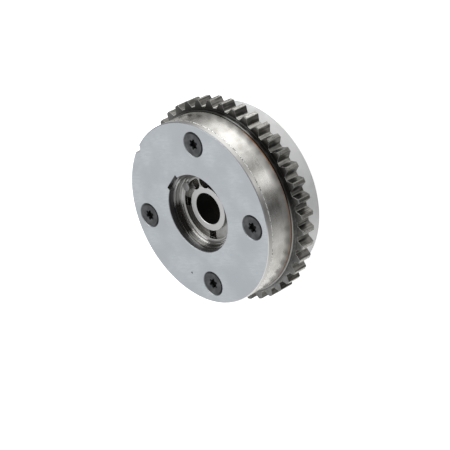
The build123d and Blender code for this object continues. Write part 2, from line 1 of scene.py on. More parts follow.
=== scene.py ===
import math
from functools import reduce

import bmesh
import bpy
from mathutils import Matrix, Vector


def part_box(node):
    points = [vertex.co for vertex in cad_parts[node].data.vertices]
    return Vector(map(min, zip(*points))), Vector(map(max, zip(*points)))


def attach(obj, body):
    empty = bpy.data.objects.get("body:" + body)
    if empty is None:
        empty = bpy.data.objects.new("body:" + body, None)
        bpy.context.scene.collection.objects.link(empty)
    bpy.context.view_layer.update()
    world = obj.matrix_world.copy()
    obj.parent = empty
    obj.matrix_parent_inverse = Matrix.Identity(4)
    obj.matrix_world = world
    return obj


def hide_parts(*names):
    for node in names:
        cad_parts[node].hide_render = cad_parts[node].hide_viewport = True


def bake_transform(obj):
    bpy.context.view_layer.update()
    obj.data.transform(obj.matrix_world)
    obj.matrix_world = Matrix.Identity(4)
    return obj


bl_info = {
    "name": "Cam phaser finishes",
    "version": (1, 0, 0),
    "blender": (4, 5, 0),
    "location": "3D View > Sidebar > Cam phaser",
    "description": "Metal finishes, burrs and a studio for a cam phaser that is loaded as a fixed frame",
    "category": "Object",
}

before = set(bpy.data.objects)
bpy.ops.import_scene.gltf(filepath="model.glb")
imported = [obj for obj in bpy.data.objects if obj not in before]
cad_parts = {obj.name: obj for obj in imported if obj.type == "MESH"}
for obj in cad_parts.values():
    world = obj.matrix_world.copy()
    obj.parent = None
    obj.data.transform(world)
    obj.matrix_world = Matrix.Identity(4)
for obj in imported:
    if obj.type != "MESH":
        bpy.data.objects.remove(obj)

MM = 0.001
SCREWS = [f"cover_screw_{i}" for i in range(1, 5)]
SEALS = [f"{place}_seal_{i}" for place in ("lobe", "vane") for i in range(1, 5)]
LEAF_SPRINGS = [f"{place}_seal_spring_{i}" for place in ("lobe", "vane") for i in range(1, 5)]
HARD_PIECES = ["index_pin", "lock_pin", "lock_pin_plug", "lock_bush", "cover_dowel_1", "cover_dowel_2"]

# Places that the frame gives
COVER_LOW, COVER_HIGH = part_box("front_cover")
SPROCKET_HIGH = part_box("sprocket_ring")[1]
PIN_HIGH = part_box("index_pin")[1]
DRUM_RADIUS = COVER_HIGH.x
TIP_RADIUS = SPROCKET_HIGH.x
FRONT_LEVEL = COVER_HIGH.z
SEAM_LEVEL = COVER_LOW.z
SPROCKET_FRONT = SPROCKET_HIGH.z

# Measures of the solids that no box of the frame gives
PIN_STAND = 1.0 * MM
BOSS_LEVEL = PIN_HIGH.z - PIN_STAND
BOLT_HOLE_RADIUS = 8.0 * MM
BOLT_SEAT_RADIUS = 11.6 * MM
SOCKET_RADIUS = 15.0 * MM
JOURNAL_RADIUS = 19.0 * MM
SCREWS_END = 42.0 * MM
SCREW_RIM_RADIUS = 5.5 * MM
SCREW_STAR_RADIUS = 3.6 * MM

# Soft patches round the axis: azimuth, half width of the core, half width in all, strength
# Painted highlight: the stretch of the cover's rim chamfer that is painted white
EDGE_HIGHLIGHT = ((-86.0, 30.0, 46.0, 1.0),)
TINTED_DRUM = ((-4.0, 6.0, 22.0, 1.0), (-70.0, 25.0, 60.0, 0.6))
# Painted shade: the side on which the gullets stay dark
SHADED_GULLETS = ((-38.0, 27.0, 55.0, 0.8),)
# Painted shade: the side on which the crests stay dark
SHADED_CRESTS = ((-22.0, 12.0, 42.0, 0.7),)
# Painted light: where the teeth's front faces are painted lighter
LIT_TEETH = ((-80.0, 15.0, 70.0, 1.0), (105.0, 5.0, 45.0, 0.6))
# Painted light: where the land and the shoulder's top are painted lighter
LIT_SHOULDER = ((-80.0, 15.0, 48.0, 1.0), (105.0, 5.0, 45.0, 0.35), (18.0, 2.0, 14.0, 0.3))
# Painted reflections: the stretches of the recess wall painted in the bright boss colour
LIT_WALL = ((108.0, 12.0, 32.0, 0.85), (197.0, 2.0, 24.0, 0.85), (-78.0, 4.0, 36.0, 0.5))
# Painted light: where the groove floor and its pockets are left lighter
LIT_FLOOR = ((-75.0, 50.0, 85.0, 0.9), (82.0, 28.0, 60.0, 0.6))
# Painted shadow: the side of each screw head's rim that is painted near black
SCREW_RIM_SHADOW = ((-19.0, 60.0, 110.0, 1.0),)

# The soft cards that stand round the object: azimuth, elevation, width in degrees, brightness
LIGHT_CARDS = (
    (50.0, -36.0, 26.0, 1.45),
    (63.0, 33.0, 18.0, 1.6),
    (-17.0, -38.0, 8.0, 1.6),
    (-148.0, -36.0, 44.0, 0.62),
    (127.0, -38.0, 7.0, 0.35),
    (150.0, 50.0, 40.0, 0.12),
)
DARK_CARDS = (
    (-55.0, -38.0, 21.0, 1.0),
    (2.0, -38.0, 7.0, 1.0),
    (108.0, -38.0, 17.0, 0.8),
    (143.0, -38.0, 10.0, 0.7),
)
FLOOR_RADIUS = 3.0
FLOOR_GAP = 0.02 * MM

# The lamp's size and its place, with its azimuth and elevation
LAMP_DIAMETER = 0.8
LAMP_DISTANCE = 0.7
LAMP_ANGLES = (60.0, 60.0)

# The photograph's camera, fitted to the cover's rim, the drum and the screw heads
CAMERA_PLACE = Vector((0.61263, -0.22160, 0.54868))
CAMERA_RIGHT = Vector((0.37885, -0.61211, -0.69412))
CAMERA_UP = Vector((0.55864, 0.74922, -0.35579))
CAMERA_BACK = Vector((0.73783, -0.25298, 0.62579))
SENSOR_WIDTH = 36.0


class Value:
    """What a node socket gives, as a number that takes part in sums."""

    def __init__(self, graph, socket):
        self.graph = graph
        self.socket = socket

    def sum(self, operation, *terms):
        return self.graph.add("ShaderNodeMath", {"operation": operation}, terms)

    def __add__(self, other):
        return self.sum("ADD", self, other)

    def __radd__(self, other):
        return self.sum("ADD", other, self)

    def __sub__(self, other):
        return self.sum("SUBTRACT", self, other)

    def __rsub__(self, other):
        return self.sum("SUBTRACT", other, self)

    def __mul__(self, other):
        return self.sum("MULTIPLY", self, other)

    def __rmul__(self, other):
        return self.sum("MULTIPLY", other, self)

    def __truediv__(self, other):
        return self.sum("DIVIDE", self, other)

    def __pow__(self, other):
        return self.sum("POWER", self, other)


class Graph:
    """A node tree that is filled by expressions."""

    def __init__(self, tree):
        self.tree = tree
        tree.nodes.clear()

    def find(self, sockets, key):
        """A socket in use, by its name or its place among those in use."""
        used = [s for s in sockets if s.enabled]
        if isinstance(key, int):
            return used[key]
        return next(s for s in used if s.name == key)

    def node(self, kind, settings=None, inputs=()):
        """A node. Its settings come first, then the values or links of its sockets."""
        node = self.tree.nodes.new(kind)
        for name, value in (settings or {}).items():
            setattr(node, name, value)
        pairs = inputs.items() if isinstance(inputs, dict) else enumerate(inputs)
        for key, value in pairs:
            socket = self.find(node.inputs, key)
            if isinstance(value, Value):
                self.tree.links.new(value.socket, socket)
            else:
                socket.default_value = value
        return node

    def add(self, kind, settings=None, inputs=(), output=0):
        """A node's output as a value."""
        node = self.node(kind, settings, inputs)
        return Value(self, self.find(node.outputs, output))

    def vector(self, x, y, z):
        return self.add("ShaderNodeCombineXYZ", {}, [x, y, z])

    def dot(self, vector, direction):
        settings = {"operation": "DOT_PRODUCT"}
        return self.add("ShaderNodeVectorMath", settings, [vector, direction], "Value")

    def noise(self, vector, scale, detail=2.0, roughness=0.5):
        inputs = {"Vector": vector, "Scale": scale, "Detail": detail, "Roughness": roughness}
        return self.add("ShaderNodeTexNoise", {}, inputs)

    def step(self, value, low, high, to_low=0.0, to_high=1.0):
        """A smooth change from one number to another as a value goes from low to high."""
        settings = {"interpolation_type": "SMOOTHSTEP"}
        inputs = {"Value": value, "From Min": low, "From Max": high, "To Min": to_low, "To Max": to_high}
        return self.add("ShaderNodeMapRange", settings, inputs)

    def fade(self, value, low, high):
        """One up to the low value and nought from the high one on."""
        return self.step(value, low, high, 1.0, 0.0)

    def band(self, value, low, high, soft):
        """One between two limits and nought outside them."""
        return self.step(value, low - soft, low) * self.fade(value, high, high + soft)

    def larger(self, first, second):
        return self.add("ShaderNodeMath", {"operation": "MAXIMUM"}, [first, second])

    def blend(self, factor, first, second):
        """A colour between two colours."""
        inputs = {"Factor": factor, "A": rgba(first), "B": rgba(second)}
        return self.add("ShaderNodeMix", {"data_type": "RGBA"}, inputs, "Result")


class Finish(Graph):
    """A material's node tree, with the place on the object that its patterns follow."""

    def __init__(self, name, axis=(0.0, 0.0)):
        self.material = bpy.data.materials.new(name)
        self.material.use_nodes = True
        super().__init__(self.material.node_tree)
        self.place = self.add("ShaderNodeTexCoord", {}, (), "Object")
        split = self.node("ShaderNodeSeparateXYZ", {}, [self.place])
        x, y, self.z = (Value(self, s) for s in split.outputs)
        self.x = x - axis[0]
        self.y = y - axis[1]
        self.radius = (self.x * self.x + self.y * self.y) ** 0.5
        self.angle = self.add("ShaderNodeMath", {"operation": "ARCTAN2"}, [self.y, self.x])
        self.flat_normal = self.add("ShaderNodeNewGeometry", {}, (), "Normal")
        steepness = self.dot(self.flat_normal, (0.0, 0.0, 1.0)) ** 2
        self.wall = self.fade(steepness, 0.1, 0.4)
        self.chamfer = self.band(steepness, 0.35, 0.65, 0.1)

    def soft_normal(self, width):
        """The surface's direction with its edges rounded to a width."""
        return self.add("ShaderNodeBevel", {"samples": 4}, {"Radius": width})

    def sharp_edges(self, width):
        """One at the sharp edges and nought away from them."""
        return self.fade(self.dot(self.soft_normal(width), self.flat_normal), 0.9, 0.995)

    def patches(self, sides):
        """The strongest of some soft patches round the axis."""
        return reduce(self.larger, (self.toward(*side) for side in sides))

    def toward(self, azimuth, core, spread, strength):
        """A strength within a core angle of an azimuth about the axis, and nought outside a spread."""
        a = math.radians(azimuth)
        cosine = (self.x * math.cos(a) + self.y * math.sin(a)) / self.radius
        inside = self.step(cosine, math.cos(math.radians(spread)), math.cos(math.radians(core)))
        return inside * strength

    def turning_marks(self, spacing):
        """Fine rings left by a lathe tool, on end faces and round walls alike."""
        along = (self.radius + self.z) / spacing
        return self.noise(self.vector(along, self.angle * 0.6, 0.0), 1.0, 3.0, 0.6)

    def surface(self, color, roughness, metallic, height, depth, edge=0.12 * MM):
        """Joins a surface to the output. Its edges are softened, and its height is in depths."""
        inputs = {"Strength": 1.0, "Distance": depth, "Height": height, "Normal": self.soft_normal(edge)}
        normal = self.add("ShaderNodeBump", {}, inputs)
        inputs = {"Base Color": color, "Roughness": roughness, "Metallic": metallic, "Normal": normal}
        shader = self.add("ShaderNodeBsdfPrincipled", {}, inputs)
        self.node("ShaderNodeOutputMaterial", {}, {"Surface": shader})
        return self.material


def rgba(color):
    """A colour with its alpha, or a linked value as it is."""
    if isinstance(color, Value):
        return color
    return (*tuple(color)[:3], 1.0)


def shade(color, share):
    """A darker or a lighter tone of a colour."""
    return tuple(c * share for c in color)


def dress(names, material):
    """Gives CAD nodes a finish."""
    for name in names:
        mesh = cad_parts[name].data
        mesh.materials.clear()
        mesh.materials.append(material)


def middle_of(name):
    """The middle of a CAD node's box."""
    low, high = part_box(name)
    return (low + high) / 2


def color_property(name, description, default):
    return bpy.props.FloatVectorProperty(
        name=name, description=description, subtype="COLOR", size=3, min=0.0, max=1.0, default=default
    )


def share_property(name, description, default):
    return bpy.props.FloatProperty(
        name=name, description=description, subtype="FACTOR", min=0.0, max=1.0, default=default
    )


def length_property(name, description, default):
    return bpy.props.FloatProperty(
        name=name, description=description, unit="LENGTH", min=0.0, default=default, precision=5
    )


def group_property(kind, name, description):
    return bpy.props.PointerProperty(type=kind, name=name, description=description)


class CoverFinish(bpy.types.PropertyGroup):
    """The ground front cover, the burrs round its screws and the bead in its seam."""

    metal: color_property("Metal", "Colour of the ground face", (0.645, 0.673, 0.698))
    # Painted shade: this colour darkens the bore wall and the chamfers
    bore: color_property("Bore", "Colour of the oily wall of the bore", (0.045, 0.043, 0.04))
    # Bright metal of the seam bead, and also the colour of the painted highlight on the cover's rim
    # chamfer
    bright_metal_and_highlight: color_property("Bare edge", "Colour of bare bright metal", (0.93, 0.93, 0.92))
    edge_shade: share_property("Edge shade", "How much the chamfers are darkened", 0.6)
    roughness: share_property("Roughness", "How satin the ground face is", 0.40)
    burr_ring: length_property("Burr ring", "Radius of the burr round a countersink", 6.62 * MM)
    burr_radius: length_property("Burr", "Thickness of the burr round a screw", 0.09 * MM)
    burr_unevenness: length_property("Burr unevenness", "How far the burr strays", 0.10 * MM)
    bead_radius: length_property("Seam bead", "Thickness of the bead in the seam", 0.25 * MM)
    bead_unevenness: length_property("Bead unevenness", "How far the bead strays", 0.45 * MM)


class DrumFinish(bpy.types.PropertyGroup):
    """The turned drum and the matt rear cover."""

    metal: color_property("Metal", "Colour of the turned drum", (0.66, 0.658, 0.649))
    cloud: color_property("Cloud", "Colour of the drum's duller patches", (0.46, 0.454, 0.432))
    tint: color_property("Heat tint", "Colour of the line by the sprocket", (0.60, 0.30, 0.14))
    tint_height: length_property("Tint height", "Height of the heat tint above the sprocket", 0.9 * MM)
    roughness: share_property("Roughness", "Roughness of the turned drum", 0.25)
    rear_metal: color_property("Rear metal", "Colour of the matt rear cover", (0.82, 0.83, 0.83))
    rear_roughness: share_property("Rear roughness", "Roughness of the matt rear cover", 0.6)
    rear_metallic: share_property("Rear metallic", "How metallic the blasted skin still looks", 0.55)


class SprocketFinish(bpy.types.PropertyGroup):
    """The dark sintered sprocket."""

    metal: color_property("Metal", "Colour of the sintered teeth", (0.19, 0.188, 0.178))
    # Wear and painted light: the crests' lighter colour, also used for the painted light on faces, land,
    # shoulder and edges
    crest_wear_and_highlight: color_property("Crests", "Colour of the worn crests", (0.52, 0.52, 0.50))
    # Polish and painted highlight: the gullets' lighter colour
    gullet_polish_and_highlight: color_property("Gullets", "Colour of the polished gullets", (0.48, 0.48, 0.46))
    # Painted shade: the dark tone of the teeth's front faces
    face: color_property("Faces", "Colour of the teeth's dark front faces", (0.075, 0.073, 0.068))
    # Painted shade at the teeth's roots and on the land beside the drum, and a real dark joint in the
    # drum's seam
    oil_and_shade: color_property("Oil", "Colour of the oil between teeth and drum", (0.035, 0.034, 0.031))
    roughness: share_property("Roughness", "Roughness of the teeth", 0.32)
    tooth_depth: length_property("Tooth depth", "Height of a tooth over its gullet", 3.6 * MM)


class RotorFinish(bpy.types.PropertyGroup):
    """The rotor, as far as the recess and the rear show it."""

    metal: color_property("Metal", "Colour of the turned walls", (0.46, 0.45, 0.43))
    boss: color_property("Boss", "Colour of the seat round the bolt hole", (0.66, 0.655, 0.64))
    # Painted shade on the recess walls and in the groove, in an oily colour
    oil_and_shade: color_property("Oil", "Colour of the oil on walls and groove", (0.108, 0.104, 0.098))
    # Painted shade: the black of the bolt hole and the socket
    shade: color_property("Black oil", "Colour of the bolt hole's wall", (0.012, 0.011, 0.010))
    roughness: share_property("Roughness", "Roughness of the turned walls", 0.24)


class SmallPieceFinish(bpy.types.PropertyGroup):
    """Screws, pins, springs and seals."""

    screw: color_property("Screw", "Colour of the phosphated screws", (0.052, 0.054, 0.056))
    # Painted shade deep in a screw's star
    screw_star: color_property("Screw star", "Colour deep in a screw's star", (0.01, 0.01, 0.01))
    screw_roughness: share_property("Screw roughness", "Roughness of the screws", 0.46)
    hard_steel: color_property("Hard steel", "Colour of pins, dowels and the bush", (0.38, 0.38, 0.37))
    hard_roughness: share_property("Hard steel roughness", "Roughness of pins and dowels", 0.30)
    spring_steel: color_property("Spring steel", "Colour of the springs", (0.30, 0.28, 0.25))
    spring_roughness: share_property("Spring roughness", "Roughness of the springs", 0.32)
    seal: color_property("Seal", "Colour of the moulded seals", (0.09, 0.075, 0.06))
    seal_roughness: share_property("Seal roughness", "Roughness of the moulded seals", 0.5)


class Studio(bpy.types.PropertyGroup):
    """Camera, floor, sky and lamp."""

    lens: bpy.props.FloatProperty(
        name="Lens", description="Focal length in millimetres", unit="CAMERA", min=20.0, default=135.2
    )
    floor: color_property("Floor", "Colour of the floor", (0.86, 0.86, 0.86))
    floor_glow: share_property("Floor glow", "What brings the floor to white", 0.7)
    sky_level: share_property("Sky", "Brightness of the studio from above", 0.62)
    ground_level: share_property("Ground", "Brightness of the studio from below", 0.5)
    sky_tint: color_property("Sky tint", "Colour of the light from above", (0.965, 0.985, 1.0))
    ground_tint: color_property("Ground tint", "Colour of the light from below", (1.0, 0.985, 0.955))
    lamp_power: bpy.props.FloatProperty(
        name="Lamp", description="Power of the overhead lamp", unit="POWER", min=0.0, default=2.5
    )


class PhaserSettings(bpy.types.PropertyGroup):
    """All finishes together."""

    cover: group_property(CoverFinish, "Cover", "Front cover")
    drum: group_property(DrumFinish, "Drum", "Drum and rear cover")
    sprocket: group_property(SprocketFinish, "Sprocket", "Sprocket ring")
    rotor: group_property(RotorFinish, "Rotor", "Rotor")
    small: group_property(SmallPieceFinish, "Small pieces", "Screws, pins, springs and seals")
    studio: group_property(Studio, "Studio", "Stage and light")


def settings():
    """The add-on's properties."""
    return bpy.context.scene.cam_phaser


def spherical(azimuth, elevation):
    """The direction at two angles in degrees."""
    a = math.radians(azimuth)
    e = math.radians(elevation)
    return (math.cos(a) * math.cos(e), math.sin(a) * math.cos(e), math.sin(e))


def card(graph, direction, azimuth, elevation, width, brightness):
    """What a soft round card gives in a direction."""
    sharpness = 1.0 / (1.0 - math.cos(math.radians(width)))
    nearness = graph.dot(direction, spherical(azimuth, elevation)) - 1.0
    return graph.add("ShaderNodeMath", {"operation": "EXPONENT"}, [nearness * sharpness]) * brightness


def make_sky(studio):
    """A pale studio of soft cards. The camera sees plain white."""
    world = bpy.data.worlds.new("studio_sky")
    world.use_nodes = True
    bpy.context.scene.world = world
    graph = Graph(world.node_tree)
    direction = graph.add("ShaderNodeTexCoord", {}, (), "Generated")
    split = graph.node("ShaderNodeSeparateXYZ", {}, [direction])
    height = Value(graph, split.outputs[2])
    level = graph.step(height, -0.9, 0.9, studio.ground_level, studio.sky_level)
    for dark_card in DARK_CARDS:
        level = level * (1.0 - card(graph, direction, *dark_card))
    for light_card in LIGHT_CARDS:
        level = level + card(graph, direction, *light_card)
    tint = graph.blend(graph.step(height, -0.5, 0.5), studio.ground_tint, studio.sky_tint)
    lit = graph.add("ShaderNodeBackground", {}, {"Color": tint, "Strength": level})
    white = graph.add("ShaderNodeBackground", {}, {"Color": (1, 1, 1, 1), "Strength": 1.0})
    seen = graph.add("ShaderNodeLightPath", {}, (), "Is Camera Ray")
    both = graph.add("ShaderNodeMixShader", {}, [seen, lit, white])
    graph.node("ShaderNodeOutputWorld", {}, {"Surface": both})


def make_floor(studio):
    """A wide disc just under the object, white with a faint shadow, and clear when seen from below."""
    mesh = bpy.data.meshes.new("studio_floor")
    shape = bmesh.new()
    bmesh.ops.create_circle(shape, cap_ends=True, segments=96, radius=FLOOR_RADIUS)
    shape.to_mesh(mesh)
    shape.free()
    floor = bpy.data.objects.new("studio_floor", mesh)
    floor.location.z = -FLOOR_GAP
    bpy.context.scene.collection.objects.link(floor)
    material = bpy.data.materials.new("floor_white")
    material.use_nodes = True
    graph = Graph(material.node_tree)
    matt = graph.add("ShaderNodeBsdfDiffuse", {}, {"Color": rgba(studio.floor)})
    glow = graph.add("ShaderNodeEmission", {}, {"Color": (1, 1, 1, 1), "Strength": studio.floor_glow})
    bright = graph.add("ShaderNodeAddShader", {}, [matt, glow])
    seen = graph.add("ShaderNodeLightPath", {}, (), "Is Camera Ray")
    both = graph.add("ShaderNodeMixShader", {}, [seen, matt, bright])
    below = graph.add("ShaderNodeNewGeometry", {}, (), "Backfacing")
    clear = graph.add("ShaderNodeBsdfTransparent")
    open_below = graph.add("ShaderNodeMixShader", {}, [below, both, clear])
    graph.node("ShaderNodeOutputMaterial", {}, {"Surface": open_below})
    mesh.materials.append(material)
    floor.visible_glossy = False


def make_lamp(studio):
    """One wide lamp high on the side that the photograph is lit from."""
    data = bpy.data.lights.new("overhead_lamp", "AREA")
    data.shape = "DISK"
    data.size = LAMP_DIAMETER
    data.energy = studio.lamp_power
    lamp = bpy.data.objects.new("overhead_lamp", data)
    place = Vector(spherical(*LAMP_ANGLES)) * LAMP_DISTANCE
    lamp.location = place
    lamp.rotation_euler = place.to_track_quat("Z", "Y").to_euler()
    bpy.context.scene.collection.objects.link(lamp)


def make_camera(studio):
    """The camera that overlays the photograph, lying on its side as the photograph does."""
    data = bpy.data.cameras.new("photo_camera")
    data.sensor_width = SENSOR_WIDTH
    data.lens = studio.lens
    data.clip_start = 0.05
    data.clip_end = 20.0
    camera = bpy.data.objects.new("photo_camera", data)
    turn = Matrix((CAMERA_RIGHT, CAMERA_UP, CAMERA_BACK)).transposed()
    camera.matrix_world = Matrix.Translation(CAMERA_PLACE) @ turn.to_4x4()
    bpy.context.scene.collection.objects.link(camera)
    bpy.context.scene.camera = camera


class PHASER_OT_stage(bpy.types.Operator):
    """Makes the camera, the sky, the floor and the lamp"""

    bl_idname = "phaser.stage"
    bl_label = "Set the stage"

    def execute(self, context):
        studio = settings().studio
        context.scene.view_settings.view_transform = "Standard"
        make_camera(studio)
        make_sky(studio)
        make_floor(studio)
        make_lamp(studio)
        return {"FINISHED"}


class PHASER_OT_front_cover(bpy.types.Operator):
    """Gives the front cover its pale ground finish, with painted shade on its inner walls and chamfers and
    a painted highlight on its rim chamfer
    """

    bl_idname = "phaser.front_cover"
    bl_label = "Finish the front cover"

    def execute(self, context):
        look = settings().cover
        finish = Finish("ground_steel")
        cloud = finish.noise(finish.place, 55.0, 3.0, 0.55)
        grain = finish.noise(finish.place, 3200.0, 2.0, 0.6)
        along = finish.vector(finish.x * 90.0, finish.y * 2600.0, finish.z * 90.0)
        across = finish.vector(finish.x * 2100.0, finish.y * 70.0, finish.z * 70.0)
        lapping = finish.noise(along, 1.0, 2.0, 0.6) + finish.noise(across, 1.0, 2.0, 0.6)
        lengthwise = (finish.x * 0.82 - finish.y * 0.57) * 230.0
        crosswise = (finish.x * 0.57 + finish.y * 0.82) * 1000.0
        smear = finish.noise(finish.vector(lengthwise, crosswise, finish.z * 230.0), 1.0, 3.0, 0.65)
        rim = finish.wall * finish.step(finish.radius, SCREWS_END - 2.0 * MM, SCREWS_END)
        # Painted highlight: one stretch of the outer rim chamfer is painted white
        edge_highlight = finish.chamfer * finish.patches(EDGE_HIGHLIGHT)
        outer = finish.step(finish.radius, SCREWS_END + 2.0 * MM, SCREWS_END + 3.0 * MM)
        edge_highlight = edge_highlight * outer

        duller = shade(look.metal, 0.86)
        metal = finish.blend(finish.step(cloud, 0.35, 0.65), duller, look.metal)
        metal = finish.blend(finish.step(smear, 0.4, 0.62) * 0.55, metal, duller)
        metal = finish.blend(finish.step(grain, 0.25, 0.5), duller, metal)
        metal = finish.blend(rim, metal, shade(settings().drum.metal, 0.82))
        # Painted shade: the inner walls, and the chamfers outside the highlight, are darkened
        metal = finish.blend((finish.wall - rim) * 0.88, metal, look.bore)
        metal = finish.blend((finish.chamfer - edge_highlight) * look.edge_shade, metal, look.bore)
        metal = finish.blend(edge_highlight, metal, look.bright_metal_and_highlight)
        roughness = look.roughness + (cloud - 0.5) * 0.14 + (grain - 0.5) * 0.08 - rim * 0.06
        height = lapping * 0.5 + grain * 0.6
        dress(["front_cover"], finish.surface(metal, roughness, 1.0, height, 0.010 * MM, 0.18 * MM))
        return {"FINISHED"}


class PHASER_OT_drum(bpy.types.Operator):
    """Gives the stator its turned finish, its cloudy patches, its line of heat tint and painted shade at
    its foot by the sprocket
    """

    bl_idname = "phaser.drum"
    bl_label = "Finish the drum"

    def execute(self, context):
        look = settings().drum
        finish = Finish("turned_steel")
        marks = finish.turning_marks(0.35 * MM)
        cloud = finish.noise(finish.place, 75.0, 3.0, 0.6)
        speck = finish.noise(finish.place, 900.0, 3.0, 0.65)
        height = finish.z - SPROCKET_FRONT
        # Painted shade: the drum is darkened toward the corner where it meets the sprocket
        foot_shade = finish.fade(height, 0.5 * MM, 6.0 * MM)
        wavy_height = height + (cloud - 0.5) * 0.3 * MM
        heat = finish.fade(wavy_height, look.tint_height - 0.25 * MM, look.tint_height + 0.15 * MM)
        seam = finish.fade(height, 0.2 * MM, 0.3 * MM)

        metal = finish.blend(finish.step(cloud, 0.36, 0.66), look.cloud, look.metal)
        metal = finish.blend(finish.step(speck, 0.62, 0.72) * 0.35, metal, look.cloud)
        metal = finish.blend(foot_shade * 0.45, metal, shade(look.cloud, 0.45))
        metal = finish.blend(heat * finish.patches(TINTED_DRUM), metal, look.tint)
        metal = finish.blend(seam, metal, settings().sprocket.oil_and_shade)
        roughness = look.roughness + (cloud - 0.5) * 0.18 + (marks - 0.5) * 0.16 + foot_shade * 0.3
        dress(["stator"], finish.surface(metal, roughness, 1.0, marks, 0.03 * MM, 0.2 * MM))
        return {"FINISHED"}


class PHASER_OT_rear_cover(bpy.types.Operator):
    """Gives the rear cover its matt blasted finish with a turned rear face"""

    bl_idname = "phaser.rear_cover"
    bl_label = "Finish the rear cover"

    def execute(self, context):
        look = settings().drum
        finish = Finish("blasted_steel")
        marks = finish.turning_marks(0.4 * MM)
        grain = finish.noise(finish.place, 2400.0, 3.0, 0.65)
        cloud = finish.noise(finish.place, 60.0, 2.0, 0.5)
        turned = finish.fade(finish.z, 0.15 * MM, 0.6 * MM)

        duller = shade(look.rear_metal, 0.8)
        metal = finish.blend(finish.step(cloud, 0.3, 0.7), duller, look.rear_metal)
        metal = finish.blend(finish.step(grain, 0.6, 0.75) * 0.4, metal, duller)
        roughness = look.rear_roughness + (cloud - 0.5) * 0.12 - turned * 0.16 + (marks - 0.5) * 0.1
        height = grain * (1.0 - turned) + marks * turned
        material = finish.surface(metal, roughness, look.rear_metallic, height, 0.014 * MM, 0.2 * MM)
        dress(["rear_cover"], material)
        return {"FINISHED"}


class PHASER_OT_sprocket(bpy.types.Operator):
    """Gives the sprocket its dark sintered finish, lighter on crests, gullets and edges from wear and
    painted highlights, with painted shade on the faces and land beside the drum and painted light on some
    of them
    """

    bl_idname = "phaser.sprocket"
    bl_label = "Finish the sprocket"

    def execute(self, context):
        look = settings().sprocket
        finish = Finish("sintered_steel")
        pores = finish.noise(finish.place, 1900.0, 4.0, 0.7)
        cloud = finish.noise(finish.place, 160.0, 2.0, 0.5)
        hob_marks = finish.noise(finish.vector(finish.x * 900.0, finish.y * 900.0, finish.z * 90.0), 1.0)
        streaks = finish.step(cloud + (hob_marks - 0.5) * 1.2, 0.35, 0.65)
        open_pores = finish.step(pores, 0.3, 0.6)

        # Nought at the bottom of a gullet, one at the tip of a tooth
        height = (finish.radius - TIP_RADIUS) / look.tooth_depth + 1.0
        front = 1.0 - finish.wall
        land = finish.fade(height, -0.15, -0.1)
        teeth = 1.0 - land
        # Gullets are lighter from polish and painted highlights, and kept dark where painted shade falls
        gullet_polish_and_highlight = finish.fade(height, 0.04, 0.16) * finish.wall
        gullet_polish_and_highlight = gullet_polish_and_highlight * (1.0 - finish.patches(SHADED_GULLETS))
        # Crests are lighter from wear and painted highlights, and kept dark where painted shade falls
        crest_wear_and_highlight = finish.step(height, 0.92, 0.98) * finish.wall
        crest_wear_and_highlight = crest_wear_and_highlight * (1.0 - finish.patches(SHADED_CRESTS))
        shoulder_light = finish.patches(LIT_SHOULDER)
        shoulder = finish.step(finish.z, SPROCKET_FRONT - 0.4 * MM, SPROCKET_FRONT - 0.2 * MM)
        # Edge wear and painted highlight: the teeth's sharp edges are painted lighter
        edge_wear_and_highlight = finish.sharp_edges(0.35 * MM) * teeth * open_pores

        metal = finish.blend(streaks, shade(look.metal, 0.45), look.metal)
        metal = finish.blend(crest_wear_and_highlight * open_pores, metal, look.crest_wear_and_highlight)
        metal = finish.blend(gullet_polish_and_highlight * (0.5 + streaks * 0.5), metal, look.gullet_polish_and_highlight)
        # Painted shade: the front faces are dark, and darkest at the roots and on the land by the drum
        face = finish.blend(finish.fade(height, 0.0, 0.8), look.face, look.oil_and_shade)
        # Painted light: some faces and the land are painted lighter on the sides that catch light
        face_light = land * shoulder_light + teeth * finish.patches(LIT_TEETH)
        face = finish.blend(face_light * (0.75 + streaks * 0.25), face, shade(look.crest_wear_and_highlight, 0.6))
        metal = finish.blend(finish.larger(front, land), metal, face)
        metal = finish.blend(edge_wear_and_highlight * 0.7, metal, look.crest_wear_and_highlight)
        # Painted light: the shoulder's top is painted lighter on the same sides
        metal = finish.blend(shoulder * shoulder_light, metal, look.crest_wear_and_highlight)
        roughness = look.roughness + (pores - 0.5) * 0.2 - gullet_polish_and_highlight * 0.1 - crest_wear_and_highlight * 0.04 + land * 0.2
        relief = pores + hob_marks * 0.6
        dress(["sprocket_ring"], finish.surface(metal, roughness, 1.0, relief, 0.02 * MM, 0.4 * MM))
        return {"FINISHED"}


